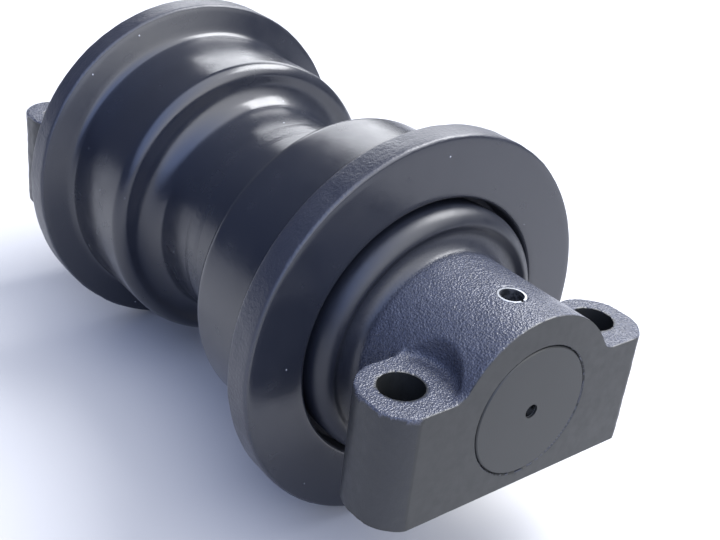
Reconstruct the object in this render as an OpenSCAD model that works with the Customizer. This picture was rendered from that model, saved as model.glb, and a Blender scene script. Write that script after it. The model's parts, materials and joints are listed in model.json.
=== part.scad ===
// Track roller of a tracked excavator: a double-flange roller shell that turns on a fixed shaft,
// with a mounting collar pinned to each end of the shaft.
// Origin: centre of the roller, on its spin axis. +Y: spin axis. +Z: away from the mounting faces.
// "left" is the -Y end and "right" is the +Y end. Profiles are drawn as [radius, distance from mid-plane].

/* [Roller shell] */
// Diameter of the two treads that carry the track links
tread_d = 156; // [146:1:190]
// Height of each flange over the tread
flange_h = 16; // [12:0.5:24]
// Width of the shell over its two flange faces
shell_w = 218; // [180:1:270]
// Width of the flange rim
flange_w = 14.7; // [10:0.1:20]
// How much the flange's inner face leans
flange_draft = 3.3; // [1:0.1:5]
// Fillet between tread and flange
flange_fillet = 4; // [2:0.5:6]
// Chamfer on the flange rim
rim_edge = 1.5; // [0.5:0.1:3]
// Rounding of each tread's inner edge
tread_round = 6; // [3:0.5:8]
// Drop from the tread to the neck
neck_drop = 20.5; // [19:0.5:24]
// Distance between the step faces of the two treads
step_gap = 76; // [64:1:90]
// Fillet between the neck and each tread's step face
neck_fillet = 12; // [6:0.5:14]
// Depth of the seal recess
recess_depth = 12.5; // [9:0.5:18]
// Depth of the weld groove round the middle of the neck
weld_depth = 4.5; // [2:0.5:6]
// Width of the weld groove at the neck's surface
weld_w = 10; // [6:0.5:14]
// Width of the weld groove at its root
weld_root = 2; // [1:0.5:4]
// Height of the weld bead over the neck
weld_crown = 0.8; // [0.2:0.1:2]

/* [Shaft] */
// Diameter of the shaft
shaft_d = 60; // [50:1:72]
// Relief of the shaft's middle, on radius, that holds oil
shaft_relief = 0.8; // [0.4:0.1:2]
// Chamfer at the shaft ends and at the collar bores
end_chamfer = 0.5; // [0.2:0.1:1.5]
// Diameter of the centre hole in the left end
centre_hole_d = 6.5; // [4:0.5:10]
// Depth of the centre hole
centre_hole_depth = 10; // [6:1:16]
// Diameter of the oil gallery along the shaft
gallery_d = 9; // [6:0.5:12]
// Diameter of the cross hole from the gallery to the oil space
feed_d = 7; // [4:0.5:9]

/* [Bushes] */
// Wall of the bimetal bush
bush_wall = 5; // [3:0.5:7]
// Length of the bush sleeve
bush_l = 36; // [26:1:40]
// Thickness of the bush flange that takes side thrust
bush_flange_t = 4.5; // [3:0.5:6]
// Height of the bush flange over the sleeve
bush_flange_h = 7; // [4:0.5:8]
// Running clearance on radius between bush and shaft
bush_clearance = 0.08; // [0.03:0.01:0.1]
// Thrust clearance between bush flange and collar nose
thrust_clearance = 0.3; // [0.3:0.05:0.8]
// Extra depth of the oil space on radius, past the bush bore
oil_relief = 3; // [2:0.5:6]

/* [Mounting collars] */
// Distance from the shell's flange face to the collar's end face
collar_out = 69; // [57:1:90]
// Wall of the collar's boss round the shaft
boss_wall = 14; // [10:0.5:18]
// Wall left between the shaft and the mounting face
seat_wall = 6.3; // [4:0.1:10]
// Height of the mounting ears over the mounting face
ear_h = 54; // [40:1:60]
// Distance between the two bolt holes of one collar
bolt_gap = 109; // [100:1:132]
// Diameter of the bolt holes
bolt_hole_d = 19.5; // [16:0.5:22]
// Wall of the ear round each bolt hole
ear_wall = 8.75; // [7:0.25:11]
// Distance from the collar's end face to the round of the ears
ear_inset = 2.5; // [0.5:0.5:5]
// Chamfer of the outer front corners of the ears
ear_corner = 12; // [6:0.5:16]
// Room on radius between the bolt hole and the pocket that clears the bolt head
head_room = 12.75; // [9:0.25:15]
// Radial width of the collar's flange outside the seal housing
collar_lip = 10.2; // [9:0.1:13]
// Gap on radius between the collar's flange and the recess
rim_gap = 3; // [1.5:0.1:5]
// How far the collar's flange stands proud of the shell
flange_proud = 8; // [1:0.5:10]
// Rounding of the collar flange's outer edge
collar_round = 8; // [2:0.5:9]
// Depth of the dished ring in the collar flange's face
dish_depth = 2; // [0.5:0.25:3]
// Radial width of the slope from the rounding to the dished ring
band_w = 1; // [0.5:0.5:3]
// Fillet between the collar's flange and its boss
boss_fillet = 8; // [4:0.5:8]
// Wall of the collar nose that carries thrust
nose_wall = 9.8; // [8:0.1:12]

/* [Floating seals] */
// Gap between the shell's and the collar's seal housings
housing_gap = 3; // [2:0.1:5]
// Step from the housing floor to the bush flange's face
thrust_drop = 1; // [0.5:0.1:2]
// Radial room between the collar nose and the seal rings
nose_room = 1.7; // [1:0.1:3]
// Width of one metal seal ring
ring_w = 8; // [7:0.1:10]
// Radial height of a metal seal ring at its face
ring_h = 8; // [7:0.1:10]
// Wall of a metal seal ring at the top of its cone
ring_wall = 4.7; // [4:0.1:6]
// Room between a seal ring or rubber ring and the housing floor
ring_room = 0.5; // [0.3:0.1:2]
// Thickness of the face rim of a metal seal ring
ring_rim = 2.2; // [1.8:0.1:2.8]
// Step from the back of the face rim to the top of the ring's cone
rim_step = 0.8; // [0.6:0.1:1.5]
// Gap between the two metal faces
face_gap = 0.3; // [0.3:0.05:0.5]
// Diameter of the rubber ring's section when free
toric_d = 6; // [5:0.1:7.2]
// Squeeze of the rubber ring between its two cones
toric_squeeze = 1; // [0.5:0.1:1.5]
// Angle of the seal cones
seal_angle = 15; // [10:1:18]

/* [O-rings and lock pins] */
// Diameter of the O-ring's section
oring_d = 3; // [2.5:0.1:4]
// Squeeze of the O-ring, as a difference in section height
oring_squeeze = 0.6; // [0.3:0.1:0.8]
// Extra width of the O-ring groove
oring_room = 1.2; // [0.6:0.1:2]
// Distance from the collar's end face to the O-ring
oring_inset = 50; // [40:1:60]
// Diameter of the slotted lock pin
pin_d = 13; // [8:0.5:14.5]
// Wall of the slotted lock pin
pin_wall = 1.25; // [1:0.25:3]
// Width of the lock pin's slot
pin_slot = 2; // [1:0.1:3]
// Distance from the end face to the lock pin
pin_inset = 22; // [18:1:30]
// How deep the lock pin goes into the shaft
pin_bite = 16; // [8:1:18]
// How far the lock pin's top sits below the boss
pin_sunk = 0.6; // [0.4:0.1:4]
// Room left under the lock pin
pin_room = 1; // [0.5:0.1:2]
// Direction of the lock pin's slot
pin_turn = -85; // [-180:5:180]

/* [Oil plug] */
// Diameter of the plug's thread
plug_d = 14; // [12:1:18]
// Length of the plug's thread
plug_l = 11; // [9:1:14]
// Height of the plug's head over its thread
plug_lip = 3; // [2:0.5:5]
// Thickness of the plug's head
plug_head_t = 4.5; // [3:0.5:6]
// Width across flats of the plug's socket
plug_socket = 8; // [6:1:9]
// Depth of the plug's socket
plug_socket_depth = 6; // [4:0.5:8]
// Thickness of the sealing washer
washer_t = 1.5; // [1:0.1:2]
// Gap round the plug's head in its counterbore
plug_gap = 2; // [1:0.5:4]
// How far the plug's head sits below the shaft end
plug_sunk = 1; // [0.5:0.5:4]
// Room left under the plug's thread
plug_room = 3; // [1:0.5:6]

/* [Hidden] */
$fn = 96;
eps = 0.5;
tread_r = tread_d / 2;
flange_r = tread_r + flange_h;
neck_r = tread_r - neck_drop;
shell_half = shell_w / 2;
rim_in = shell_half - flange_w;
recess_floor = shell_half - recess_depth;
end_half = shell_half + collar_out;
shaft_r = shaft_d / 2;
bush_r = shaft_r + bush_wall;
bush_flange_r = bush_r + bush_flange_h;
flange_seat_room = 1;
oil_r = bush_r + oil_relief;
boss_r = shaft_r + boss_wall;
seat_z = -(shaft_r + seat_wall);
ear_top = seat_z + ear_h;
bolt_x = bolt_gap / 2;
ear_r = bolt_hole_d / 2 + ear_wall;
bolt_inset = ear_r + ear_inset;
block_depth = bolt_inset + ear_r;
span_half = bolt_x + ear_r;
collar_front = shell_half + flange_proud;
nose_r = shaft_r + nose_wall;
// seal stack, from the plane where the metal faces meet
face_h = recess_floor + housing_gap / 2;
collar_back = recess_floor + housing_gap;
seat_start = ring_rim + rim_step;
housing_floor = max(ring_w, seat_start + toric_d) + ring_room;
thrust_h = face_h - housing_floor - thrust_drop;
bush_in = thrust_h - bush_flange_t - bush_l;
ring_in_r = nose_r + nose_room;
ring_out_r = ring_in_r + ring_h;
seat_top_r = ring_in_r + ring_wall;
cone = tan(seal_angle);
toric_room = (toric_d - toric_squeeze) / cos(seal_angle);
toric_u = seat_start + toric_d / 2;
toric_r = seat_r(toric_u) + toric_room / 2;
collar_r = house_r(housing_gap / 2) + collar_lip;
recess_r = collar_r + rim_gap;
dish_r = collar_r - collar_round - band_w;
root_r = min(boss_fillet, dish_r - boss_r - 1);
// shaft details
oring_h = end_half - oring_inset;
oring_floor_r = shaft_r - oring_d + oring_squeeze;
oring_groove_w = oring_d + oring_room;
pin_h = end_half - pin_inset;
pin_top = boss_r - pin_sunk;
pin_bottom = shaft_r - pin_bite;
pin_bore = pin_d - 2 * pin_wall;
plug_head_d = plug_d + 2 * plug_lip;
plug_face = end_half - plug_sunk;
plug_seat = plug_face - plug_head_t - washer_t;
plug_end = plug_seat - plug_l + washer_t;

function seat_r(u) = seat_top_r - (u - seat_start) * cone;
function house_r(u) = seat_r(u) + toric_room;
function arc(cx, cy, r, a0, a1, n = 8) = [for (i = [0:n]) let (a = a0 + (a1 - a0) * i / n)
    [cx + r * cos(a), cy + r * sin(a)]];

// Turns a [radius, distance from mid-plane] profile about the spin axis, towards the left end
module turned() {
    rotate([90, 0, 0]) rotate_extrude() children();
}

module to_right() {
    rotate([0, 0, 180]) children();
}

module shell_half_solid() {
    turned() polygon(concat(
        [[oil_r, 0], [neck_r - weld_depth, 0], [neck_r - weld_depth, weld_root / 2]],
        [[neck_r, weld_w / 2]],
        arc(neck_r + neck_fillet, step_gap / 2 - neck_fillet, neck_fillet, 180, 90, 12),
        arc(tread_r - tread_round, step_gap / 2 + tread_round, tread_round, 270, 360),
        arc(tread_r + flange_fillet, rim_in - flange_draft - flange_fillet, flange_fillet, 180, 90),
        [[flange_r - rim_edge, rim_in], [flange_r, rim_in + rim_edge]],
        [[flange_r, shell_half - rim_edge], [flange_r - rim_edge, shell_half]],
        [[recess_r + 1, shell_half], [recess_r, shell_half - 1], [recess_r, recess_floor]],
        [[house_r(housing_gap / 2), recess_floor], [house_r(housing_floor), face_h - housing_floor]],
        [[bush_flange_r + flange_seat_room, face_h - housing_floor]],
        [[bush_flange_r + flange_seat_room, thrust_h - bush_flange_t]],
        [[bush_r, thrust_h - bush_flange_t], [bush_r, bush_in - 1], [oil_r, bush_in - 1]]));
}

module shell_left() {
    color("#3a3d44") shell_half_solid();
}

module shell_right() {
    color("#3a3d44") to_right() shell_half_solid();
}

// Ring of weld metal that joins the two shell halves round the neck
module weld_bead() {
    color("#44474d") turned() polygon([
        [neck_r - weld_depth, -weld_root / 2], [neck_r, -weld_w / 2],
        [neck_r + weld_crown * 0.75, -weld_w / 4], [neck_r + weld_crown, 0],
        [neck_r + weld_crown * 0.75, weld_w / 4], [neck_r, weld_w / 2],
        [neck_r - weld_depth, weld_root / 2]]);
}

// Flanged bimetal bush, pressed into the shell half
module bush_solid() {
    bore_r = shaft_r + bush_clearance;
    turned() polygon([
        [bore_r + 0.8, bush_in], [bush_r, bush_in], [bush_r, thrust_h - bush_flange_t],
        [bush_flange_r, thrust_h - bush_flange_t], [bush_flange_r, thrust_h - 0.6],
        [bush_flange_r - 0.6, thrust_h], [bore_r + 0.8, thrust_h],
        [bore_r, thrust_h - 0.8], [bore_r, bush_in + 0.8]]);
}

module bush_left() {
    color("#a9793f") bush_solid();
}

module bush_right() {
    color("#a9793f") to_right() bush_solid();
}

// Turned body of the collar: nose, seal housing, flange and boss, before it is bored
module collar_body() {
    turned() polygon(concat(
        [[0, thrust_h + thrust_clearance], [nose_r - 0.6, thrust_h + thrust_clearance]],
        [[nose_r, thrust_h + thrust_clearance + 0.6], [nose_r, face_h + housing_floor]],
        [[house_r(housing_floor), face_h + housing_floor], [house_r(housing_gap / 2), collar_back]],
        [[collar_r, collar_back]],
        arc(collar_r - collar_round, collar_front - collar_round, collar_round, 0, 90, 12),
        [[dish_r, collar_front - dish_depth]],
        arc(boss_r + root_r, collar_front - dish_depth + root_r, root_r, 270, 180),
        [[boss_r, end_half], [0, end_half]]));
}

// Outline of the two ears and the block between them, seen along the bolts
module ear_outline() {
    for (s = [-1, 1]) translate([s * bolt_x, -end_half + bolt_inset]) circle(r = ear_r);
    polygon([
        [-span_half + ear_corner, -end_half], [span_half - ear_corner, -end_half],
        [span_half, -end_half + ear_corner], [span_half, -end_half + bolt_inset],
        [bolt_x, -end_half + block_depth], [-bolt_x, -end_half + block_depth],
        [-span_half, -end_half + bolt_inset], [-span_half, -end_half + ear_corner]]);
}

// Mounting collar: a turned boss and flange with a block of two bolting ears
module collar_solid() {
    difference() {
        union() {
            collar_body();
            translate([0, 0, seat_z]) linear_extrude(ear_h) ear_outline();
        }
        // the mounting face cuts the boss off flat over the length of the ears
        translate([-span_half - 5, -end_half - 5, seat_z - 40]) cube([2 * span_half + 10, block_depth + 5, 40]);
        // shaft bore with its chamfer
        rotate([90, 0, 0]) cylinder(r = shaft_r, h = 2 * end_half + 10, center = true);
        translate([0, -end_half - eps, 0]) rotate([-90, 0, 0])
            cylinder(r1 = shaft_r + end_chamfer + eps, r2 = shaft_r, h = end_chamfer + eps);
        for (s = [-1, 1]) translate([s * bolt_x, -end_half + bolt_inset, 0]) {
            translate([0, 0, seat_z - eps]) cylinder(d = bolt_hole_d, h = ear_h + 2 * eps);
            translate([0, 0, ear_top]) cylinder(r = bolt_hole_d / 2 + head_room, h = boss_r);
        }
        translate([0, -pin_h, 0]) cylinder(d = pin_d, h = boss_r + 5);
    }
}

module collar_left() {
    color("#53575d") collar_solid();
}

module collar_right() {
    color("#53575d") to_right() collar_solid();
}

// Fixed shaft with oil gallery, O-ring grooves, lock pin holes, centre hole and plug seat
module shaft() {
    relief_h = bush_in - 3;
    groove = oring_groove_w / 2;
    color("#6b6f73") difference() {
        turned() polygon([
            [0, -end_half], [shaft_r - end_chamfer, -end_half], [shaft_r, -end_half + end_chamfer],
            [shaft_r, -oring_h - groove], [oring_floor_r, -oring_h - groove],
            [oring_floor_r, -oring_h + groove], [shaft_r, -oring_h + groove],
            [shaft_r, -relief_h - shaft_relief], [shaft_r - shaft_relief, -relief_h],
            [shaft_r - shaft_relief, relief_h], [shaft_r, relief_h + shaft_relief],
            [shaft_r, oring_h - groove], [oring_floor_r, oring_h - groove],
            [oring_floor_r, oring_h + groove], [shaft_r, oring_h + groove],
            [shaft_r, end_half - end_chamfer], [shaft_r - end_chamfer, end_half], [0, end_half]]);
        for (s = [-1, 1]) translate([0, s * pin_h, pin_bottom - pin_room])
            cylinder(d = pin_d, h = shaft_r + 5);
        translate([0, -end_half - eps, 0]) rotate([-90, 0, 0])
            cylinder(d = centre_hole_d, h = centre_hole_depth + eps);
        translate([0, -end_half + centre_hole_depth, 0]) rotate([-90, 0, 0])
            cylinder(d1 = centre_hole_d, d2 = 0, h = centre_hole_d * 0.3);
        rotate([-90, 0, 0]) cylinder(d = gallery_d, h = plug_end);
        rotate([0, 90, 0]) cylinder(d = feed_d, h = shaft_r + 5);
        translate([0, plug_end - plug_room, 0]) rotate([-90, 0, 0])
            cylinder(d = plug_d, h = plug_l + plug_room + eps);
        translate([0, plug_seat, 0]) rotate([-90, 0, 0])
            cylinder(d = plug_head_d + 2 * plug_gap, h = end_half - plug_seat + eps);
    }
}

// Metal ring of a floating seal; side is -1 for the turning ring and 1 for the fixed ring
module seal_ring(side) {
    u0 = face_gap / 2;
    turned() polygon([for (p = [
        [ring_in_r, u0], [ring_out_r, u0], [ring_out_r, ring_rim],
        [seat_top_r, seat_start], [seat_r(ring_w), ring_w], [ring_in_r, ring_w]])
        [p[0], face_h + side * p[1]]]);
}

// Rubber ring squeezed between the cone of its metal ring and the cone of its housing
module rubber_ring(side) {
    turned() intersection() {
        translate([toric_r, face_h + side * toric_u]) circle(d = toric_d);
        polygon([for (p = [
            [seat_r(0), 0], [house_r(0), 0], [house_r(2 * toric_u), 2 * toric_u],
            [seat_r(2 * toric_u), 2 * toric_u]])
            [p[0], face_h + side * p[1]]]);
    }
}

module seal_ring_turning_left() {
    color("#8d9093") seal_ring(-1);
}

module seal_ring_fixed_left() {
    color("#8d9093") seal_ring(1);
}

module seal_ring_turning_right() {
    color("#8d9093") to_right() seal_ring(-1);
}

module seal_ring_fixed_right() {
    color("#8d9093") to_right() seal_ring(1);
}

module rubber_ring_turning_left() {
    color("#1d1d1f") rubber_ring(-1);
}

module rubber_ring_fixed_left() {
    color("#1d1d1f") rubber_ring(1);
}

module rubber_ring_turning_right() {
    color("#1d1d1f") to_right() rubber_ring(-1);
}

module rubber_ring_fixed_right() {
    color("#1d1d1f") to_right() rubber_ring(1);
}

// O-ring squeezed between its groove in the shaft and the collar's bore
module oring() {
    turned() intersection() {
        translate([(oring_floor_r + shaft_r) / 2, oring_h]) circle(d = oring_d);
        translate([oring_floor_r, oring_h - oring_d]) square([shaft_r - oring_floor_r, 2 * oring_d]);
    }
}

module shaft_oring_left() {
    color("#1d1d1f") oring();
}

module shaft_oring_right() {
    color("#1d1d1f") to_right() oring();
}

// Slotted spring pin that locks the collar to the shaft
module lock_pin() {
    translate([0, -pin_h, 0]) rotate([0, 0, pin_turn]) difference() {
        translate([0, 0, pin_bottom]) cylinder(d = pin_d, h = pin_top - pin_bottom);
        translate([0, 0, pin_bottom - eps]) cylinder(d = pin_bore, h = pin_top - pin_bottom + 2 * eps);
        translate([0, -pin_slot / 2, pin_bottom - eps]) cube([pin_d, pin_slot, pin_top - pin_bottom + 2 * eps]);
    }
}

module lock_pin_left() {
    color("#34363a") lock_pin();
}

module lock_pin_right() {
    color("#34363a") to_right() lock_pin();
}

// Hexagon socket plug that closes the oil gallery in the right end of the shaft
module oil_plug() {
    color("#7d7f82") translate([0, plug_face, 0]) rotate([90, 0, 0]) difference() {
        union() {
            cylinder(d = plug_head_d, h = plug_head_t);
            cylinder(d = plug_d, h = plug_face - plug_end);
        }
        translate([0, 0, -eps]) cylinder(d = plug_socket / cos(30), h = plug_socket_depth + eps, $fn = 6);
    }
}

// Sealing washer under the head of the plug
module plug_washer() {
    color("#a05a35") translate([0, plug_seat, 0]) rotate([-90, 0, 0]) difference() {
        cylinder(d = plug_head_d, h = washer_t);
        translate([0, 0, -eps]) cylinder(d = plug_d, h = washer_t + 2 * eps);
    }
}

shaft();
shell_left();
shell_right();
weld_bead();
bush_left();
bush_right();
collar_left();
collar_right();
seal_ring_turning_left();
seal_ring_fixed_left();
seal_ring_turning_right();
seal_ring_fixed_right();
rubber_ring_turning_left();
rubber_ring_fixed_left();
rubber_ring_turning_right();
rubber_ring_fixed_right();
shaft_oring_left();
shaft_oring_right();
lock_pin_left();
lock_pin_right();
oil_plug();
plug_washer();
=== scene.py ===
import json
import math

import bpy
import numpy as np
from mathutils import Matrix, Vector


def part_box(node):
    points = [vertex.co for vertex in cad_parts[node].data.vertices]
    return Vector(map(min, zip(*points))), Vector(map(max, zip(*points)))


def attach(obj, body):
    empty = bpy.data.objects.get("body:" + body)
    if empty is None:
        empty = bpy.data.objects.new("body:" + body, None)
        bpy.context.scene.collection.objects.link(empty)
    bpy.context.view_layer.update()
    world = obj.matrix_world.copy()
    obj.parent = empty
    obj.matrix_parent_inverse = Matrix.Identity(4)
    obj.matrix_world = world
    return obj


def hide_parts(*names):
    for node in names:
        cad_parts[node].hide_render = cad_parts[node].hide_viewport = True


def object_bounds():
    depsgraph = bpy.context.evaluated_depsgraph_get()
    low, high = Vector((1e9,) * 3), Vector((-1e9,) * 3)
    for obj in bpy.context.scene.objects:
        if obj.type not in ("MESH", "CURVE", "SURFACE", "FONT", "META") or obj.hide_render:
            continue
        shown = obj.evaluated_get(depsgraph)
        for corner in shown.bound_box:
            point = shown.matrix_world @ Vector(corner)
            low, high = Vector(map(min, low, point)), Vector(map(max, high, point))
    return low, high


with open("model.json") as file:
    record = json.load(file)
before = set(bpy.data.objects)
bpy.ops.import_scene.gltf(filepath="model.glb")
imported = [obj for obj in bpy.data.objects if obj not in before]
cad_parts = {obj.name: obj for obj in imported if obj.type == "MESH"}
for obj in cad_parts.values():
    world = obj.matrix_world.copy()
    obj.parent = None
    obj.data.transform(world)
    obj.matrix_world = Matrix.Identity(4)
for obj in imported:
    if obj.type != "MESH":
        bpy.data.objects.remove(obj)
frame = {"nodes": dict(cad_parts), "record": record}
cad_low, cad_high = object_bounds()

# ------------------------------------------------------------------ roller shell
# Two steel forgings, turned all over except the flange rims, which stay rough from the
# die. They are hardened, welded together round the neck, and sprayed with one coat of
# blue-black enamel, so the turned faces are smooth and glossy and the rims are pebbled.

MM = 0.001
shell_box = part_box("shell_left")
FLANGE_R = round(shell_box[1][0] / MM)
SHELL_HALF = -shell_box[0][1] / MM
FLANGE_H = 16
FLANGE_W = 14.4
FLANGE_LEAN = 4.9
FLANGE_FILLET = 4.5
RIM_ROUND = 2
TREAD_R = FLANGE_R - FLANGE_H
TREAD_ROUND = 6.5
STEP_HALF = 38
NECK_DROP = 20.5
NECK_R = TREAD_R - NECK_DROP
NECK_FILLET = 12
RECESS_R = 65
RECESS_DEPTH = 12.5
RECESS_FLOOR = SHELL_HALF - RECESS_DEPTH
WELD_DEPTH = 4.5
WELD_HALF, WELD_ROOT_HALF = 5, 1
SHELL_AROUND = 320
# random heights come from a table of this many values
TABLE = 8192
HASH_FACTORS = (73856093, 19349663, 83492791)
# longest stretch of an arc between two points, in mm
ARC_STEP = 0.7


def rounded(corners, step=2.6):
    """Closed outline from corners (x, y, radius). Each corner becomes an arc tangent to its
    two sides, and straight stretches are split into equal lengths of about one step."""
    points = np.array(corners, float)
    here, radii = points[:, :2], points[:, 2]
    to_last = np.roll(here, 1, axis=0) - here
    to_next = np.roll(here, -1, axis=0) - here
    to_last /= np.linalg.norm(to_last, axis=1)[:, None]
    to_next /= np.linalg.norm(to_next, axis=1)[:, None]
    half = np.arccos(np.clip((to_last * to_next).sum(1), -1, 1)) / 2
    path = []
    for p, a, b, r, h in zip(here, to_last, to_next, radii, half):
        if r == 0:
            path.append(p[None])
            continue
        centre = p + (a + b) / np.linalg.norm(a + b) * r / np.sin(h)
        start = p + a * r / np.tan(h) - centre
        first = np.arctan2(start[1], start[0])
        end = p + b * r / np.tan(h) - centre
        sweep = (np.arctan2(end[1], end[0]) - first + np.pi) % (2 * np.pi) - np.pi
        turn = first + np.linspace(0, sweep, max(5, math.ceil(abs(sweep) * r / ARC_STEP)))
        path.append(centre + r * np.stack([np.cos(turn), np.sin(turn)], 1))
    path = np.concatenate(path)
    gaps = np.linalg.norm(np.roll(path, -1, axis=0) - path, axis=1)
    split = [np.linspace(p, q, max(1, round(g / step)), endpoint=False)
             for p, q, g in zip(path, np.roll(path, -1, axis=0), gaps) if g > 1e-6]
    return np.concatenate(split)


def grit(points, size, seed):
    """Smooth random height from 0 to 1: random values on a cubic lattice of the given size
    in mm, blended between the eight corners round each point. The lattice place is hashed
    with three large factors to pick its value from a table."""
    values = np.random.default_rng(seed).random(TABLE)
    place = np.asarray(points, float) / size
    corner = np.floor(place).astype(np.int64)
    part = place - corner
    part = part * part * (3 - 2 * part)
    height = 0
    for offset in np.ndindex(2, 2, 2):
        at = (corner + offset) * HASH_FACTORS
        weight = np.where(offset, part, 1 - part).prod(-1)
        height = height + weight * values[(at[..., 0] ^ at[..., 1] ^ at[..., 2]) % TABLE]
    return height


def closed_piece(name, points, quads, sharp=38):
    """Makes an object from points in mm and quads that close up. The quads are turned to
    face outwards if their signed volume is negative, and edges over sharp degrees are hard."""
    a, b, c, d = (points[quads[:, i]] for i in range(4))
    volume = (np.cross(a, b) * c).sum() + (np.cross(a, c) * d).sum()
    if volume < 0:
        quads = quads[:, ::-1]
    mesh = bpy.data.meshes.new(name)
    mesh.vertices.add(len(points))
    mesh.vertices.foreach_set("co", (points * MM).astype(np.float32).ravel())
    mesh.loops.add(quads.size)
    mesh.loops.foreach_set("vertex_index", quads.astype(np.int32).ravel())
    mesh.polygons.add(len(quads))
    mesh.polygons.foreach_set("loop_start", np.arange(0, quads.size, 4, dtype=np.int32))
    mesh.update(calc_edges=True)
    mesh.polygons.foreach_set("use_smooth", np.ones(len(quads), bool))
    mesh.set_sharp_from_angle(angle=math.radians(sharp))
    piece = bpy.data.objects.new(name, mesh)
    bpy.context.scene.collection.objects.link(piece)
    return piece


def ring_grid(across, around):
    """Quads of a grid that closes up in both directions, numbered across first."""
    i, j = np.meshgrid(np.arange(across), np.arange(around), indexing="ij")
    k, m = (i + 1) % across, (j + 1) % around
    corners = [i * around + j, k * around + j, k * around + m, i * around + m]
    return np.stack(corners, -1).reshape(-1, 4)


def turned(profile, around):
    """Turns a closed [radius, distance from mid-plane] outline about the spin axis, on the
    left side. Gives the points, as one row of the grid for each point of the outline."""
    turn = np.linspace(0, 2 * np.pi, around, endpoint=False)
    radius, out = profile[:, :1], profile[:, 1:]
    return np.stack([radius * np.cos(turn), -out + 0 * turn, radius * np.sin(turn)], -1)


def other_end(points):
    """The same points for the right end: half a turn about the upright axis."""
    return points * (-1, -1, 1)


def linear(hexcode):
    """sRGB hex to the linear colour that a shader takes."""
    value = np.array([int(hexcode[i:i + 2], 16) for i in (1, 3, 5)]) / 255
    value = np.where(value <= 0.04045, value / 12.92, ((value + 0.055) / 1.055) ** 2.4)
    return (*value, 1.0)


def per_mm(size):
    """Texture scale on object coordinates in metres that gives grains of a size in mm."""
    return 1000 / size


def connect(tree, node, inputs):
    """Sets or links a node's inputs, which are named, numbered, or listed in order. A node
    given as an input stands for its first output in use."""
    for key, value in inputs.items() if isinstance(inputs, dict) else enumerate(inputs):
        if isinstance(value, bpy.types.Node):
            value = next(socket for socket in value.outputs if socket.enabled)
        if isinstance(value, bpy.types.NodeSocket):
            tree.links.new(value, node.inputs[key])
        else:
            node.inputs[key].default_value = value


def add(tree, kind, inputs=(), **settings):
    """Adds a node with its settings and links."""
    made = tree.nodes.new("ShaderNode" + kind)
    for key, value in settings.items():
        setattr(made, key, value)
    connect(tree, made, inputs)
    return made


def finish_of(name, **shader):
    """A new material. Gives its node tree, its shader and its object coordinates."""
    material = bpy.data.materials.new(name)
    material.use_nodes = True
    tree = material.node_tree
    bsdf = tree.nodes["Principled BSDF"]
    for key, value in shader.items():
        bsdf.inputs[{"ior": "IOR"}.get(key, key.title())].default_value = value
    return material, tree, bsdf, add(tree, "TexCoord").outputs["Object"]


def from_axle(tree, place):
    """Distance from the spin axis, place along it, and distance from mid-plane, in metres."""
    across = add(tree, "VectorMath", [place, (1, 0, 1)], operation="MULTIPLY")
    radius = add(tree, "VectorMath", [across], operation="LENGTH")
    along = add(tree, "SeparateXYZ", [place]).outputs["Y"]
    return radius, along, add(tree, "Math", [along], operation="ABSOLUTE")


def forged_enamel():
    """Blue-black enamel sprayed on turned and forged steel. Turned faces carry faint feed
    marks and a soft gloss; the rims are pebbled, with the paint dried duller on the grain."""
    material, tree, bsdf, place = finish_of("enamel_on_forged_steel", ior=1.6)
    radius, along, reach = from_axle(tree, place)
    rim = add(tree, "MapRange", [radius, (FLANGE_R - 1.6) * MM, (FLANGE_R - 0.5) * MM, 0, 1])
    cloud = add(tree, "TexNoise", {"Vector": place, "Scale": per_mm(38), "Detail": 3})
    tone = add(tree, "Mix", {0: cloud, 6: linear("#1a1d26"), 7: linear("#20232c")}, data_type="RGBA")
    tone = add(tree, "Mix", {0: rim, 6: tone, 7: linear("#252833")}, data_type="RGBA")
    # a few specks of dust and chipped paint, under a millimetre across
    dust = add(tree, "TexVoronoi", {"Vector": place, "Scale": per_mm(14)})
    speck = add(tree, "MapRange", [dust, 0.02, 0.035, 0.6, 0])
    tone = add(tree, "Mix", {0: speck, 6: tone, 7: linear("#c9cdd4")}, data_type="RGBA")
    blotch = add(tree, "TexNoise", {"Vector": place, "Scale": per_mm(12), "Detail": 3})
    gloss = add(tree, "MapRange", [blotch, 0.3, 0.7, 0.18, 0.28])
    gloss = add(tree, "Math", [rim, 0.12, gloss], operation="MULTIPLY_ADD")
    # little spray reaches the seal recess, so it stays dull
    within = add(tree, "MapRange", [radius, RECESS_R * MM, (RECESS_R + 1) * MM, 1, 0])
    deep = add(tree, "MapRange", [reach, (SHELL_HALF - 16) * MM, (SHELL_HALF - 15) * MM, 0, 1])
    recess = add(tree, "Math", [within, deep], operation="MULTIPLY")
    gloss = add(tree, "Math", [recess, 0.5, gloss], operation="MULTIPLY_ADD")
    # feed marks, drawn at 1.6 mm because the real 0.3 mm ones are too fine to show
    marks = add(tree, "Math", [along, 2 * math.pi / (1.6 * MM)], operation="MULTIPLY")
    marks = add(tree, "Math", [marks], operation="SINE")
    peel = add(tree, "TexNoise", {"Vector": place, "Scale": per_mm(2.4), "Detail": 1})
    height = add(tree, "Math", [marks, 0.05, peel], operation="MULTIPLY_ADD")
    smooth = add(tree, "Bump", {"Height": height, "Distance": 0.02 * MM})
    grain = add(tree, "TexNoise", {
        "Vector": place, "Scale": per_mm(1.5), "Detail": 3, "Roughness": 0.6})
    pebble = add(tree, "Math", [grain, rim], operation="MULTIPLY")
    skin = add(tree, "Bump", {"Height": pebble, "Distance": 0.28 * MM, "Normal": smooth})
    connect(tree, bsdf, {"Base Color": tone, "Roughness": gloss, "Normal": skin})
    return material


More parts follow.
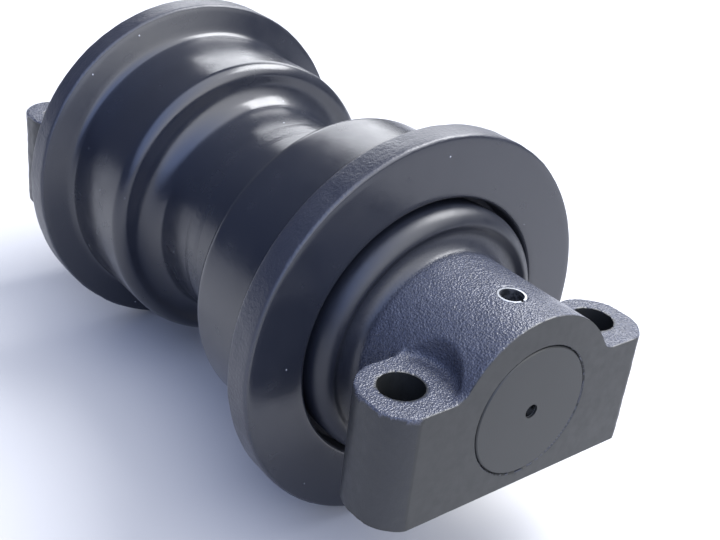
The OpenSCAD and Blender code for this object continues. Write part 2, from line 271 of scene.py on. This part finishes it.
# the seal recess, the housing cone and the bores inside follow the bush and the seal rings
bush_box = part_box("bush_left")
BUSH_R = 35
BUSH_FLANGE_R = bush_box[1][0] / MM
BUSH_FLANGE_T = 4.5
BUSH_FACE = -bush_box[0][1] / MM
BUSH_END = -bush_box[1][1] / MM
BUSH_ROOM = 1
OIL_ROOM = 3
HOUSE_MOUTH_R, HOUSE_FLOOR_R = 51.8, 49.6
THRUST_DROP = 1
HOUSE_FLOOR = BUSH_FACE + THRUST_DROP
flange_top = SHELL_HALF - FLANGE_W
bush_seat = BUSH_FACE - BUSH_FLANGE_T
shell_outline = rounded([
    (BUSH_R + OIL_ROOM, 0, 0), (NECK_R - WELD_DEPTH, 0, 0),
    (NECK_R - WELD_DEPTH, WELD_ROOT_HALF, 0), (NECK_R, WELD_HALF, 0),
    (NECK_R, STEP_HALF, NECK_FILLET), (TREAD_R, STEP_HALF, TREAD_ROUND),
    (TREAD_R, flange_top - FLANGE_LEAN, FLANGE_FILLET),
    (FLANGE_R, flange_top, RIM_ROUND), (FLANGE_R, SHELL_HALF, RIM_ROUND),
    (RECESS_R, SHELL_HALF, 1.5), (RECESS_R, RECESS_FLOOR, 1),
    (HOUSE_MOUTH_R, RECESS_FLOOR, 0.5), (HOUSE_FLOOR_R, HOUSE_FLOOR, 0),
    (BUSH_FLANGE_R + BUSH_ROOM, HOUSE_FLOOR, 0), (BUSH_FLANGE_R + BUSH_ROOM, bush_seat, 0),
    (BUSH_R, bush_seat, 0), (BUSH_R, BUSH_END - BUSH_ROOM, 0),
    (BUSH_R + OIL_ROOM, BUSH_END - BUSH_ROOM, 0)])
shell_points = turned(shell_outline, SHELL_AROUND)
# the die leaves the rim slightly uneven, with dents 7 mm and 3 mm across
RIM_DEPTH = 1.5
on_rim = np.clip((shell_outline[:, 0] - FLANGE_R + RIM_DEPTH) / RIM_DEPTH, 0, 1)[:, None]
dents = 0.35 * (grit(shell_points, 7, 3) - 0.9) + 0.18 * (grit(shell_points, 3, 4) - 0.9)
bearing = shell_points / np.linalg.norm(shell_points[..., ::2], axis=-1)[..., None] * (1, 0, 1)
shell_points = (shell_points + bearing * (on_rim * dents)[..., None]).reshape(-1, 3)
shell_quads = ring_grid(len(shell_outline), SHELL_AROUND)
shell_enamel = forged_enamel()
for end, points in (("left", shell_points), ("right", other_end(shell_points))):
    half = closed_piece("roller_half_" + end, points, shell_quads)
    half.data.materials.append(shell_enamel)
    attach(half, "roller")
    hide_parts("shell_" + end)

# ------------------------------------------------------------------ weld bead
# One run of weld metal fills the groove between the two halves. It is dressed almost
# flush, so only faint ripples are left under the same enamel.

BEAD_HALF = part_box("weld_bead")[1][1] / MM
BEAD_AROUND = 480
CROWN = 0.16
TOE = 0.02
TOE_HALF = BEAD_HALF + 0.7
RIPPLES = 90
RIPPLE_H = 0.014
# how much the ripples bow, in radians per square mm from the bead's middle
RIPPLE_BOW = 0.35
bead_outline = rounded([
    (NECK_R - WELD_DEPTH, -WELD_ROOT_HALF, 0), (NECK_R, -BEAD_HALF, 0),
    (NECK_R + TOE, -TOE_HALF, 0),
    (NECK_R + CROWN, -BEAD_HALF / 2, 4), (NECK_R + CROWN, BEAD_HALF / 2, 4),
    (NECK_R + TOE, TOE_HALF, 0), (NECK_R, BEAD_HALF, 0),
    (NECK_R - WELD_DEPTH, WELD_ROOT_HALF, 0)], 0.8)
bead_points = turned(bead_outline, BEAD_AROUND)
bead_turn = np.arctan2(bead_points[..., 2], bead_points[..., 0])
on_crown = np.clip((bead_outline[:, :1] - NECK_R - TOE) / 0.12, 0, 1)
phase = RIPPLES * bead_turn + RIPPLE_BOW * bead_points[..., 1] ** 2
ripple = RIPPLE_H * on_crown * np.sin(phase)
bearing = bead_points / np.linalg.norm(bead_points[..., ::2], axis=-1)[..., None] * (1, 0, 1)
bead_points = (bead_points + bearing * ripple[..., None]).reshape(-1, 3)
bead = closed_piece("neck_weld", bead_points, ring_grid(len(bead_outline), BEAD_AROUND))


def weld_enamel():
    """The same enamel over weld metal: as glossy, with fine scale under the paint."""
    material, tree, bsdf, place = finish_of("enamel_on_weld_metal", ior=1.6)
    cloud = add(tree, "TexNoise", {"Vector": place, "Scale": per_mm(38), "Detail": 3})
    tone = add(tree, "Mix", {0: cloud, 6: linear("#1a1d26"), 7: linear("#20232c")}, data_type="RGBA")
    blotch = add(tree, "TexNoise", {"Vector": place, "Scale": per_mm(12), "Detail": 3})
    gloss = add(tree, "MapRange", [blotch, 0.3, 0.7, 0.2, 0.3])
    scale = add(tree, "TexNoise", {"Vector": place, "Scale": per_mm(1.2)})
    skin = add(tree, "Bump", {"Height": scale, "Distance": 0.04 * MM})
    connect(tree, bsdf, {"Base Color": tone, "Roughness": gloss, "Normal": skin})
    return material


bead.data.materials.append(weld_enamel())
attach(bead, "roller")
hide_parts("weld_bead")

# ------------------------------------------------------------------ mounting collars
# Cast steel, one at each end. The boss and the ear tops keep the pebbled skin of the sand
# mould; the end face, the mounting face, the flange and the holes are machined. The same
# grey-black enamel covers all of it, and has a satin look where the face is milled.

collar_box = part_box("collar_left")
bolts = next(m for m in frame["record"]["mounts"] if m["name"] == "mounting_bolts")
END_HALF = -collar_box[0][1] / MM
COLLAR_SPAN = collar_box[1][0] / MM
SEAT = bolts["pos_m"][2] / MM
BOLT_X = bolts["dims"]["spacing_x_mm"] / 2
BOLT_IN = END_HALF - bolts["dims"]["spacing_y_mm"] / 2
BOLT_R = bolts["dims"]["hole_r_mm"]
BOSS_R = 44
# how far the boss runs into the flange, past its front
BOSS_REACH = 5
SHAFT_R = round(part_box("shaft")[1][2] / MM)
# the ears: their height, the front of their round, and the pocket for the bolt head
EAR_H = 54
EAR_TOP = SEAT + EAR_H
EAR_FRONT = 17.2
EAR_R = COLLAR_SPAN - BOLT_X
EAR_BEHIND_BOLT = 18.5
BLOCK_DEPTH = BOLT_IN + EAR_BEHIND_BOLT
POCKET_R = 22.5
# the flange: its front stands proud of the shell, with a rounded lip and a trough inside it
COLLAR_FLANGE_R = round(collar_box[1][2] / MM)
PROUD = 8
HOUSING_GAP = 3
FLANGE_FRONT = END_HALF - SHELL_HALF - PROUD
FLANGE_BACK = END_HALF - RECESS_FLOOR - HOUSING_GAP
LIP_ROUND = 8
TROUGH_R = 54.5
TROUGH_DEPTH = 2
ROOT_FILLET = 7
# the seal housing and the nose behind the flange
HOUSE_DEPTH = 8
NOSE_R = 39.8
THRUST_GAP = 0.3
NOSE_END = END_HALF - BUSH_FACE - THRUST_GAP
# the bore is drawn this much larger than the shaft, so that the joint line shows
JOINT_GAP = 0.3
PIN_IN = 22
PIN_R = 6.5
# the cast skin fades out over this length, just short of the machined flange
CAST_FADE = 3
# a distance that stands for no metal to cut
NOTHING = 99


def join(a, b, fillet=0.0):
    """Distance to two solids joined, with a fillet of a radius in the inner corner."""
    if fillet == 0:
        return np.minimum(a, b)
    inner = np.hypot(np.maximum(fillet - a, 0), np.maximum(fillet - b, 0))
    return np.maximum(fillet, np.minimum(a, b)) - inner


def meet(a, b, edge=0.0):
    """Distance to what two solids share, with the outer edge rounded to a radius."""
    return -join(-a, -b, edge)


def as_cast(out):
    """1 where the skin is as cast, falling evenly to 0 just short of the machined flange."""
    return np.clip((FLANGE_FRONT - 1 - out) / CAST_FADE, 0, 1)


def collar_skin(p):
    """Distance in mm from the skin of the left collar, negative inside the metal. The
    casting is joined from its boss, flange and ears, and then the machining is cut."""
    side, out, up = np.abs(p[..., 0]), p[..., 1] + END_HALF, p[..., 2]
    radius = np.hypot(side, up)
    boss = meet(radius - BOSS_R, out - FLANGE_FRONT - BOSS_REACH)
    flange = meet(radius - COLLAR_FLANGE_R, FLANGE_FRONT - out, LIP_ROUND)
    flange = meet(flange, out - FLANGE_BACK, 0.6)
    trough = join(TROUGH_R - radius, FLANGE_FRONT + TROUGH_DEPTH - out, 3)
    metal = join(boss, meet(flange, trough, 2), ROOT_FILLET)
    # the ear is round about the bolt and runs forward into the end face
    reach = out - np.clip(out, EAR_FRONT, BOLT_IN)
    ear = np.hypot(side - BOLT_X, reach) - EAR_R
    block = np.maximum(side - BOLT_X, out - BLOCK_DEPTH)
    ears = meet(meet(join(ear, block), up - EAR_TOP, 1.6), SEAT - up)
    metal = join(metal, ears, 4)
    to_bolt = np.hypot(side - BOLT_X, out - BOLT_IN)
    pocket = meet(to_bolt - POCKET_R, EAR_TOP + 0.25 - up, 3)
    metal = meet(metal, -pocket, 0.9)
    # the sand leaves swells 8 mm across, and smaller ones of 3 mm
    swells = 0.26 * (grit(p, 8, 7) - 0.5) + 0.2 * (grit(p, 3.2, 8) - 0.5)
    metal = metal + as_cast(out) * swells
    # machining: end face, mounting face, turned flange and nose, bore and holes
    metal = meet(metal, -out)
    metal = meet(metal, np.where(out < BLOCK_DEPTH + 1.5, SEAT - up, -NOTHING))
    house_floor = FLANGE_BACK - HOUSE_DEPTH
    widening = (HOUSE_MOUTH_R - HOUSE_FLOOR_R) / HOUSE_DEPTH
    cone = HOUSE_FLOOR_R + (out - house_floor) * widening
    housing = np.maximum(np.maximum(NOSE_R - radius, radius - cone), house_floor - out)
    metal = meet(metal, -housing)
    nose = np.maximum(np.maximum(radius - NOSE_R, out - NOSE_END), house_floor - 1 - out)
    metal = join(metal, nose)
    metal = meet(metal, np.maximum(SHAFT_R + JOINT_GAP, SHAFT_R + 1 - out) - radius)
    metal = meet(metal, BOLT_R - to_bolt, 0.5)
    to_pin = np.where(up > 0, np.hypot(side, out - PIN_IN), NOTHING)
    return meet(metal, PIN_R - to_pin, 0.9)


def skin_mesh(distance, low, high, cell):
    """Quads over the surface where distance(points) is zero. Space is cut into cubes. Each
    cube that the surface passes through gets one point, which is the best fit, by least
    squares, to the tangent planes where the surface crosses the cube's edges. So the cut
    edges stay sharp. Each crossed edge gives one quad between its four cubes."""
    tiny, pull_to_middle = 0.02, 0.06
    axes = np.eye(3)
    steps = [np.arange(a, b + cell, cell) for a, b in zip(low, high)]
    value = distance(np.stack(np.meshgrid(*steps, indexing="ij"), -1))
    size = np.array(value.shape)
    weights = np.array([size[1] * size[2], size[2], 1])
    owners, hits, normals, quads = [], [], [], []
    for axis in range(3):
        near = np.take(value, range(size[axis] - 1), axis)
        far = np.take(value, range(1, size[axis]), axis)
        crossed = (near < 0) != (far < 0)
        start = np.argwhere(crossed)
        share = (near[crossed] / (near[crossed] - far[crossed]))[:, None]
        hit = np.array(low) + cell * (start + share * axes[axis])
        slope = np.stack([distance(hit + tiny * e) - distance(hit - tiny * e) for e in axes], -1)
        steepness = np.maximum((slope ** 2).sum(-1), 1e-12)
        hit = hit - slope * (distance(hit) * 2 * tiny / steepness)[:, None]
        slope /= np.maximum(np.linalg.norm(slope, axis=1), 1e-9)[:, None]
        u, v = axes[(axis + 1) % 3].astype(int), axes[(axis + 2) % 3].astype(int)
        four = ((0, 0), (1, 0), (1, 1), (0, 1))
        cubes = np.stack([(start - s * u - t * v) @ weights for s, t in four], 1)
        inward = near[crossed] >= 0
        cubes[inward] = cubes[inward, ::-1]
        quads.append(cubes)
        owners.append(cubes.ravel())
        hits.append(np.repeat(hit, 4, axis=0))
        normals.append(np.repeat(slope, 4, axis=0))
    owner, hit, normal = np.concatenate(owners), np.concatenate(hits), np.concatenate(normals)
    cubes, index = np.unique(owner, return_inverse=True)
    count = np.bincount(index)
    middle = np.stack([np.bincount(index, hit[:, i]) / count for i in range(3)], 1)
    offset = ((hit - middle[index]) * normal).sum(1)
    pull = np.stack([np.bincount(index, normal[:, i] * offset) for i in range(3)], 1)
    pairs = [np.bincount(index, normal[:, i] * normal[:, j]) for i in range(3) for j in range(3)]
    planes = np.stack(pairs, 1).reshape(-1, 3, 3) + pull_to_middle * axes
    point = middle + np.linalg.solve(planes, pull[..., None])[..., 0]
    corner = np.array(low) + cell * np.stack(np.unravel_index(cubes, size), 1)
    point = np.clip(point, corner, corner + cell)
    return point, np.searchsorted(cubes, np.concatenate(quads))


# the cubes start and end this far outside the collar's box
LOW_MARGIN, HIGH_MARGIN = 1.7, 1.9
CELL = 1.13
collar_low = np.array(collar_box[0]) / MM - LOW_MARGIN
collar_high = np.array(collar_box[1]) / MM + HIGH_MARGIN
collar_points, collar_quads = skin_mesh(collar_skin, collar_low, collar_high, CELL)
side, out, up = np.abs(collar_points[:, 0]), collar_points[:, 1] + END_HALF, collar_points[:, 2]
radius = np.hypot(side, up)
to_bolt = np.hypot(side - BOLT_X, out - BOLT_IN)
# how rough the skin is: 1 on the cast boss and ear tops, less on the sides, 0 where machined
on_boss = as_cast(out) * (radius < BOSS_R + 9) * (up > SEAT + 3)
on_ear = (up > EAR_TOP - 1.5) & (out < BLOCK_DEPTH + 4)
rough = np.where(on_ear, 1.0, np.maximum(on_boss, 0.12))
on_face = (out < 0.2) | (up < SEAT + 0.2) & (out < BLOCK_DEPTH)
on_flange = (out > FLANGE_FRONT - 0.5) & (radius > BOSS_R + 6.5)
in_hole = (radius < SHAFT_R + JOINT_GAP) | (to_bolt < BOLT_R + 0.3)
rough = np.where(on_face | on_flange | in_hole, 0.0, rough)


def cast_enamel():
    """Grey-black enamel on cast steel. Sand grains of about a millimetre stand up through
    the coat where the skin is as cast. Milled faces are flat, darker and satin."""
    material, tree, bsdf, place = finish_of("enamel_on_cast_steel", ior=1.52)
    cast = add(tree, "Attribute", attribute_name="cast").outputs["Fac"]
    cloud = add(tree, "TexNoise", {"Vector": place, "Scale": per_mm(30), "Detail": 3})
    milled = add(tree, "Mix", {0: cloud, 6: linear("#17191a"), 7: linear("#1c1e1f")}, data_type="RGBA")
    # the turned flange took the roller's own enamel, so it is bluer and glossier
    reach = from_axle(tree, place)[2]
    lip = add(tree, "MapRange", [reach, (END_HALF - 56) * MM, (END_HALF - 58) * MM, 0, 1])
    milled = add(tree, "Mix", {0: lip, 6: milled, 7: linear("#191c25")}, data_type="RGBA")
    speckle = add(tree, "TexNoise", {
        "Vector": place, "Scale": per_mm(1.3), "Detail": 3, "Roughness": 0.65})
    skin = add(tree, "Mix", {0: speckle, 6: linear("#181b23"), 7: linear("#525665")}, data_type="RGBA")
    tone = add(tree, "Mix", {0: cast, 6: milled, 7: skin}, data_type="RGBA")
    blotch = add(tree, "TexNoise", {"Vector": place, "Scale": per_mm(4), "Detail": 3})
    gloss = add(tree, "MapRange", [blotch, 0.3, 0.7, 0.4, 0.5])
    gloss = add(tree, "Math", [lip, -0.07, gloss], operation="MULTIPLY_ADD")
    gloss = add(tree, "Math", [cast, -0.2, gloss], operation="MULTIPLY_ADD")
    peel = add(tree, "TexNoise", {"Vector": place, "Scale": per_mm(2), "Detail": 1})
    smooth = add(tree, "Bump", {"Height": peel, "Distance": 0.012 * MM})
    sand = add(tree, "TexVoronoi", {"Vector": place, "Scale": per_mm(0.9)})
    lumps = add(tree, "TexNoise", {
        "Vector": place, "Scale": per_mm(1.2), "Detail": 3, "Roughness": 0.65})
    grains = add(tree, "Math", [sand, lumps], operation="ADD")
    grains = add(tree, "Math", [grains, cast], operation="MULTIPLY")
    relief = add(tree, "Bump", {"Height": grains, "Distance": 0.3 * MM, "Normal": smooth})
    connect(tree, bsdf, {"Base Color": tone, "Roughness": gloss, "Normal": relief})
    return material


collar_enamel = cast_enamel()
for end, points in (("left", collar_points), ("right", other_end(collar_points))):
    collar = closed_piece("end_collar_" + end, points, collar_quads, 32)
    attribute = collar.data.attributes.new("cast", "FLOAT", "POINT")
    attribute.data.foreach_set("value", rough.astype(np.float32))
    collar.data.materials.append(collar_enamel)
    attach(collar, "axle")
    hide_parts("collar_" + end)

# ------------------------------------------------------------------ shaft
# Ground bar, faced flush with the collars at both ends. The end faces and the centre hole
# were sprayed with the collars; the rest is bare ground steel that runs in oil.


def shaft_finish():
    """Bare ground steel, with satin grey enamel on its ends. The end faces show the circles
    that the facing tool left under the paint, drawn at 0.9 mm so that they show."""
    material, tree, bsdf, place = finish_of("ground_steel_with_painted_ends")
    radius, _, reach = from_axle(tree, place)
    bare = add(tree, "MapRange", [reach, (END_HALF - 1.2) * MM, (END_HALF - 0.9) * MM, 1, 0])
    cloud = add(tree, "TexNoise", {"Vector": place, "Scale": per_mm(26)})
    paint = add(tree, "Mix", {0: cloud, 6: linear("#191b1c"), 7: linear("#1e2021")}, data_type="RGBA")
    cloud = add(tree, "TexNoise", {"Vector": place, "Scale": per_mm(3)})
    steel = add(tree, "Mix", {0: cloud, 6: linear("#8f9194"), 7: linear("#a5a7aa")}, data_type="RGBA")
    tone = add(tree, "Mix", {0: bare, 6: paint, 7: steel}, data_type="RGBA")
    gloss = add(tree, "MapRange", [bare, 0, 1, 0.42, 0.25])
    marks = add(tree, "Math", [radius, 2 * math.pi / (0.9 * MM)], operation="MULTIPLY")
    marks = add(tree, "Math", [marks], operation="SINE")
    relief = add(tree, "Bump", {"Height": marks, "Distance": 0.004 * MM})
    connect(tree, bsdf, {"Base Color": tone, "Metallic": bare, "Roughness": gloss, "Normal": relief})
    return material


def dress(node, material):
    """Gives a carried-over CAD node its real finish."""
    for slot in frame["nodes"][node].material_slots:
        slot.material = material


dress("shaft", shaft_finish())

# ------------------------------------------------------------------ bushes
# Flanged bimetal bushes, pressed into the shell halves: sintered bronze on a steel back,
# bored to size after pressing.


def bush_bronze():
    """Sintered bronze with a satin bored face and small dark pores."""
    material, tree, bsdf, place = finish_of("sintered_bronze", metallic=1.0, roughness=0.32)
    grain = add(tree, "TexNoise", {"Vector": place, "Scale": per_mm(0.9), "Detail": 1})
    pores = add(tree, "MapRange", [grain, 0.62, 0.7, 0, 1])
    cloud = add(tree, "TexNoise", {"Vector": place, "Scale": per_mm(8)})
    tone = add(tree, "Mix", {0: cloud, 6: linear("#b08a52"), 7: linear("#a0763f")}, data_type="RGBA")
    tone = add(tree, "Mix", {0: pores, 6: tone, 7: linear("#5a4426")}, data_type="RGBA")
    pits = add(tree, "Bump", {"Height": pores, "Distance": -0.04 * MM})
    connect(tree, bsdf, {"Base Color": tone, "Normal": pits})
    return material


bronze = bush_bronze()
for end in ("left", "right"):
    dress("bush_" + end, bronze)

# ------------------------------------------------------------------ floating seals
# At each end two cast alloy rings run face to face. A nitrile rubber ring sits in the cone
# behind each one, and presses it against the other.


def lapped_alloy():
    """White cast iron, lapped on its face: bright, with fine circular lapping marks, drawn
    at 0.5 mm because real ones are too fine to show."""
    material, tree, bsdf, place = finish_of("lapped_cast_alloy", metallic=1.0, roughness=0.22)
    radius = from_axle(tree, place)[0]
    lines = add(tree, "Math", [radius, 2 * math.pi / (0.5 * MM)], operation="MULTIPLY")
    lines = add(tree, "Math", [lines], operation="SINE")
    cloud = add(tree, "TexNoise", {"Vector": place, "Scale": per_mm(5), "Detail": 3})
    tone = add(tree, "Mix", {0: cloud, 6: linear("#9a9c9f"), 7: linear("#b4b6b8")}, data_type="RGBA")
    relief = add(tree, "Bump", {"Height": lines, "Distance": 0.003 * MM})
    connect(tree, bsdf, {"Base Color": tone, "Normal": relief})
    return material


def nitrile_rubber():
    """Moulded nitrile rubber: matt black with a faint bloom and a fine moulded grain."""
    material, tree, bsdf, place = finish_of("nitrile_rubber", roughness=0.62, ior=1.5)
    bloom = add(tree, "TexNoise", {"Vector": place, "Scale": per_mm(7), "Detail": 3})
    tone = add(tree, "Mix", {0: bloom, 6: linear("#17181a"), 7: linear("#222326")}, data_type="RGBA")
    grain = add(tree, "TexNoise", {"Vector": place, "Scale": per_mm(0.7), "Detail": 1})
    relief = add(tree, "Bump", {"Height": grain, "Distance": 0.03 * MM})
    connect(tree, bsdf, {"Base Color": tone, "Normal": relief})
    return material


alloy = lapped_alloy()
rubber = nitrile_rubber()
for end in ("left", "right"):
    for state in ("turning", "fixed"):
        dress(f"seal_ring_{state}_{end}", alloy)
        dress(f"rubber_ring_{state}_{end}", rubber)
    dress("shaft_oring_" + end, rubber)

# ------------------------------------------------------------------ lock pins
# Slotted spring pins, rolled from spring steel strip and blackened. They are driven
# through the boss into the shaft, and stop just below the skin with chamfered ends.

PIN_WALL = 1.25
PIN_CHAMFER = 0.3
PIN_SLOT = 2.0
PIN_TURN = -85
PIN_AROUND = 72
pin_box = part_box("lock_pin_left")
pin_low, pin_top = pin_box[0][2] / MM, pin_box[1][2] / MM


def spring_pin(name, centre_y, turn):
    """Carries the wall's section, a chamfered oblong of radius and height, round the pin
    from one side of the slot to the other, and closes it with a flat at each side."""
    wall = rounded([
        (PIN_R - PIN_WALL, pin_low, 0), (PIN_R - PIN_CHAMFER, pin_low, 0),
        (PIN_R, pin_low + PIN_CHAMFER, 0), (PIN_R, pin_top - PIN_CHAMFER, 0),
        (PIN_R - PIN_CHAMFER, pin_top, 0), (PIN_R - PIN_WALL, pin_top, 0)], 1.5)
    half_slot = math.asin(PIN_SLOT / 2 / PIN_R)
    angle = math.radians(turn) + np.linspace(half_slot, 2 * math.pi - half_slot, PIN_AROUND)
    reach, height = wall[:, :1], wall[:, 1:]
    points = np.stack([
        reach * np.cos(angle), centre_y + reach * np.sin(angle), height + 0 * angle], -1)
    across, around = points.shape[:2]
    i, j = np.meshgrid(np.arange(across), np.arange(around - 1), indexing="ij")
    here, beside = i * around + j, (i + 1) % across * around + j
    faces = np.stack([here, beside, beside + 1, here + 1], -1).reshape(-1, 4).tolist()
    faces.append([n * around for n in reversed(range(across))])
    faces.append([n * around + around - 1 for n in range(across)])
    mesh = bpy.data.meshes.new(name)
    mesh.from_pydata((points * MM).reshape(-1, 3).tolist(), [], faces)
    mesh.polygons.foreach_set("use_smooth", np.ones(len(faces), bool))
    mesh.set_sharp_from_angle(angle=math.radians(32))
    piece = bpy.data.objects.new(name, mesh)
    bpy.context.scene.collection.objects.link(piece)
    return piece


def black_spring_steel():
    """Blackened spring steel: dark and oily, lighter and glossier in patches and over its top end."""
    material, tree, bsdf, place = finish_of("blackened_spring_steel", metallic=0.85)
    # the colour turns lighter and the gloss higher in patches, and all over the pin's top end
    height = add(tree, "SeparateXYZ", [place]).outputs["Z"]
    tip = add(tree, "MapRange", [height, (pin_top - 0.5) * MM, (pin_top - 0.2) * MM, 0, 0.3])
    patches = add(tree, "TexNoise", {"Vector": place, "Scale": per_mm(2.5), "Detail": 3})
    lighter_patches = add(tree, "Math", [patches, tip], operation="ADD")
    lighter_patches = add(tree, "MapRange", [lighter_patches, 0.45, 0.62, 0, 1])
    tone = add(tree, "Mix", {0: lighter_patches, 6: linear("#4a4d52"), 7: linear("#9b9ea4")}, data_type="RGBA")
    gloss = add(tree, "MapRange", [lighter_patches, 0, 1, 0.42, 0.28])
    grain = add(tree, "TexNoise", {"Vector": place, "Scale": per_mm(1)})
    relief = add(tree, "Bump", {"Height": grain, "Distance": 0.02 * MM})
    connect(tree, bsdf, {"Base Color": tone, "Roughness": gloss, "Normal": relief})
    return material


pin_steel = black_spring_steel()
for end, sign in (("left", -1), ("right", 1)):
    pin = spring_pin("spring_pin_" + end, sign * (END_HALF - PIN_IN), PIN_TURN + 90 * (1 + sign))
    pin.data.materials.append(pin_steel)
    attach(pin, "axle")
    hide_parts("lock_pin_" + end)

# ------------------------------------------------------------------ oil plug
# A zinc-plated socket plug closes the oil gallery at the right end, on a soft copper
# washer that is crushed as the plug is tightened.


def zinc_plate():
    """Zinc plating: a pale metal with a cloudy satin finish and small handling marks."""
    material, tree, bsdf, place = finish_of("zinc_plate", metallic=1.0)
    cloud = add(tree, "TexNoise", {"Vector": place, "Scale": per_mm(6), "Detail": 4})
    tone = add(tree, "Mix", {0: cloud, 6: linear("#8d9196"), 7: linear("#adb1b4")}, data_type="RGBA")
    handling = add(tree, "TexNoise", {"Vector": place, "Scale": per_mm(3)})
    gloss = add(tree, "MapRange", [handling, 0.3, 0.7, 0.26, 0.44])
    grain = add(tree, "TexNoise", {"Vector": place, "Scale": per_mm(1.4)})
    relief = add(tree, "Bump", {"Height": grain, "Distance": 0.015 * MM})
    connect(tree, bsdf, {"Base Color": tone, "Roughness": gloss, "Normal": relief})
    return material


def soft_copper():
    """Annealed copper, browned by handling, with a fine rolled grain."""
    material, tree, bsdf, place = finish_of("annealed_copper", metallic=1.0, roughness=0.36)
    cloud = add(tree, "TexNoise", {"Vector": place, "Scale": per_mm(4), "Detail": 3})
    tone = add(tree, "Mix", {0: cloud, 6: linear("#b87a5c"), 7: linear("#93583d")}, data_type="RGBA")
    grain = add(tree, "TexNoise", {"Vector": place, "Scale": per_mm(0.8)})
    relief = add(tree, "Bump", {"Height": grain, "Distance": 0.02 * MM})
    connect(tree, bsdf, {"Base Color": tone, "Normal": relief})
    return material


dress("oil_plug", zinc_plate())
dress("plug_washer", soft_copper())

# ------------------------------------------------------------------ studio
# A pale floor, a broad softbox behind the roller and a key above its right side, which give
# the long highlights along its top, and a dim room with a bright ceiling for the soft light.

FLOOR_HALF = 30.0
ground = cad_low[2]
floor_mesh = bpy.data.meshes.new("studio_floor")
floor_mesh.from_pydata([
    (-FLOOR_HALF, -FLOOR_HALF, ground), (FLOOR_HALF, -FLOOR_HALF, ground),
    (FLOOR_HALF, FLOOR_HALF, ground), (-FLOOR_HALF, FLOOR_HALF, ground)], [], [(0, 1, 2, 3)])
floor = bpy.data.objects.new("studio_floor", floor_mesh)
bpy.context.scene.collection.objects.link(floor)


def floor_paper():
    """Seamless white background paper, quite matt."""
    material, tree, bsdf, place = finish_of("background_paper", roughness=0.9)
    cloud = add(tree, "TexNoise", {"Vector": place, "Scale": per_mm(900), "Detail": 1})
    tone = add(tree, "Mix", {0: cloud, 6: linear("#b0b0b1"), 7: linear("#b6b6b7")}, data_type="RGBA")
    connect(tree, bsdf, {"Base Color": tone})
    return material


floor_mesh.materials.append(floor_paper())


def softbox(name, place, width, height, power, colour):
    """An oblong area light that faces the middle of the roller, its width level."""
    lamp = bpy.data.lights.new(name, "AREA")
    lamp.shape = "RECTANGLE"
    lamp.size, lamp.size_y, lamp.energy, lamp.color = width, height, power, linear(colour)[:3]
    holder = bpy.data.objects.new(name, lamp)
    holder.location = place
    holder.rotation_euler = (-Vector(place)).to_track_quat("-Z", "Y").to_euler()
    bpy.context.scene.collection.objects.link(holder)


softbox("window_behind", (1.08, 1.27, 0.88), 1.5, 0.9, 18, "#f8faff")
softbox("key_above_right", (0.8, -0.1, 1.15), 1.0, 0.8, 36, "#f7f8fb")


def room_light():
    """A dim room whose ceiling is bright over the front, with a soft edge. The light is
    dimmer and bluish towards the left, and bright and neutral towards the right."""
    world = bpy.data.worlds.new("room")
    bpy.context.scene.world = world
    world.use_nodes = True
    tree = world.node_tree
    way = add(tree, "TexCoord").outputs["Generated"]
    facing = add(tree, "VectorMath", [way, (-0.15, -0.55, 0.82)], operation="DOT_PRODUCT")
    side = add(tree, "SeparateXYZ", [way]).outputs["X"]
    neutral = add(tree, "MapRange", [side, -0.7, 0.1, 0, 1])
    tint = add(tree, "Mix", {0: neutral, 6: linear("#a6baee"), 7: linear("#f6f7fa")}, data_type="RGBA")
    ceiling = add(tree, "MapRange", [facing, 0.46, 0.72, 0, 1])
    bright = add(tree, "MapRange", [side, -0.75, 0.4, 3.0, 3.6])
    strength = add(tree, "Math", [ceiling, bright, 0.2], operation="MULTIPLY_ADD")
    connect(tree, tree.nodes["Background"], {"Color": tint, "Strength": strength})


room_light()

# The camera stands close, above and in front of the left end, and leans a little sideways.
CAMERA_PLACE = (-0.2954, -0.4084, 0.2492)
SIGHT_TURN, SIGHT_DROP, SIGHT_LEAN = 40.32, 27.86, 6.82
LENS, SENSOR = 54.1, 36
sight = Vector((
    math.sin(math.radians(SIGHT_TURN)) * math.cos(math.radians(SIGHT_DROP)),
    math.cos(math.radians(SIGHT_TURN)) * math.cos(math.radians(SIGHT_DROP)),
    -math.sin(math.radians(SIGHT_DROP))))
right = sight.cross(Vector((0, 0, 1))).normalized()
right = Matrix.Rotation(math.radians(-SIGHT_LEAN), 3, sight) @ right
upward = right.cross(sight)
camera = bpy.data.objects.new("camera", bpy.data.cameras.new("camera"))
camera.data.lens = LENS
camera.data.sensor_width = SENSOR
camera.data.clip_start = 0.01
camera.matrix_world = Matrix((right, upward, -sight)).transposed().to_4x4()
camera.location = CAMERA_PLACE
bpy.context.scene.collection.objects.link(camera)
bpy.context.scene.camera = camera
bpy.context.scene.view_settings.view_transform = "Standard"
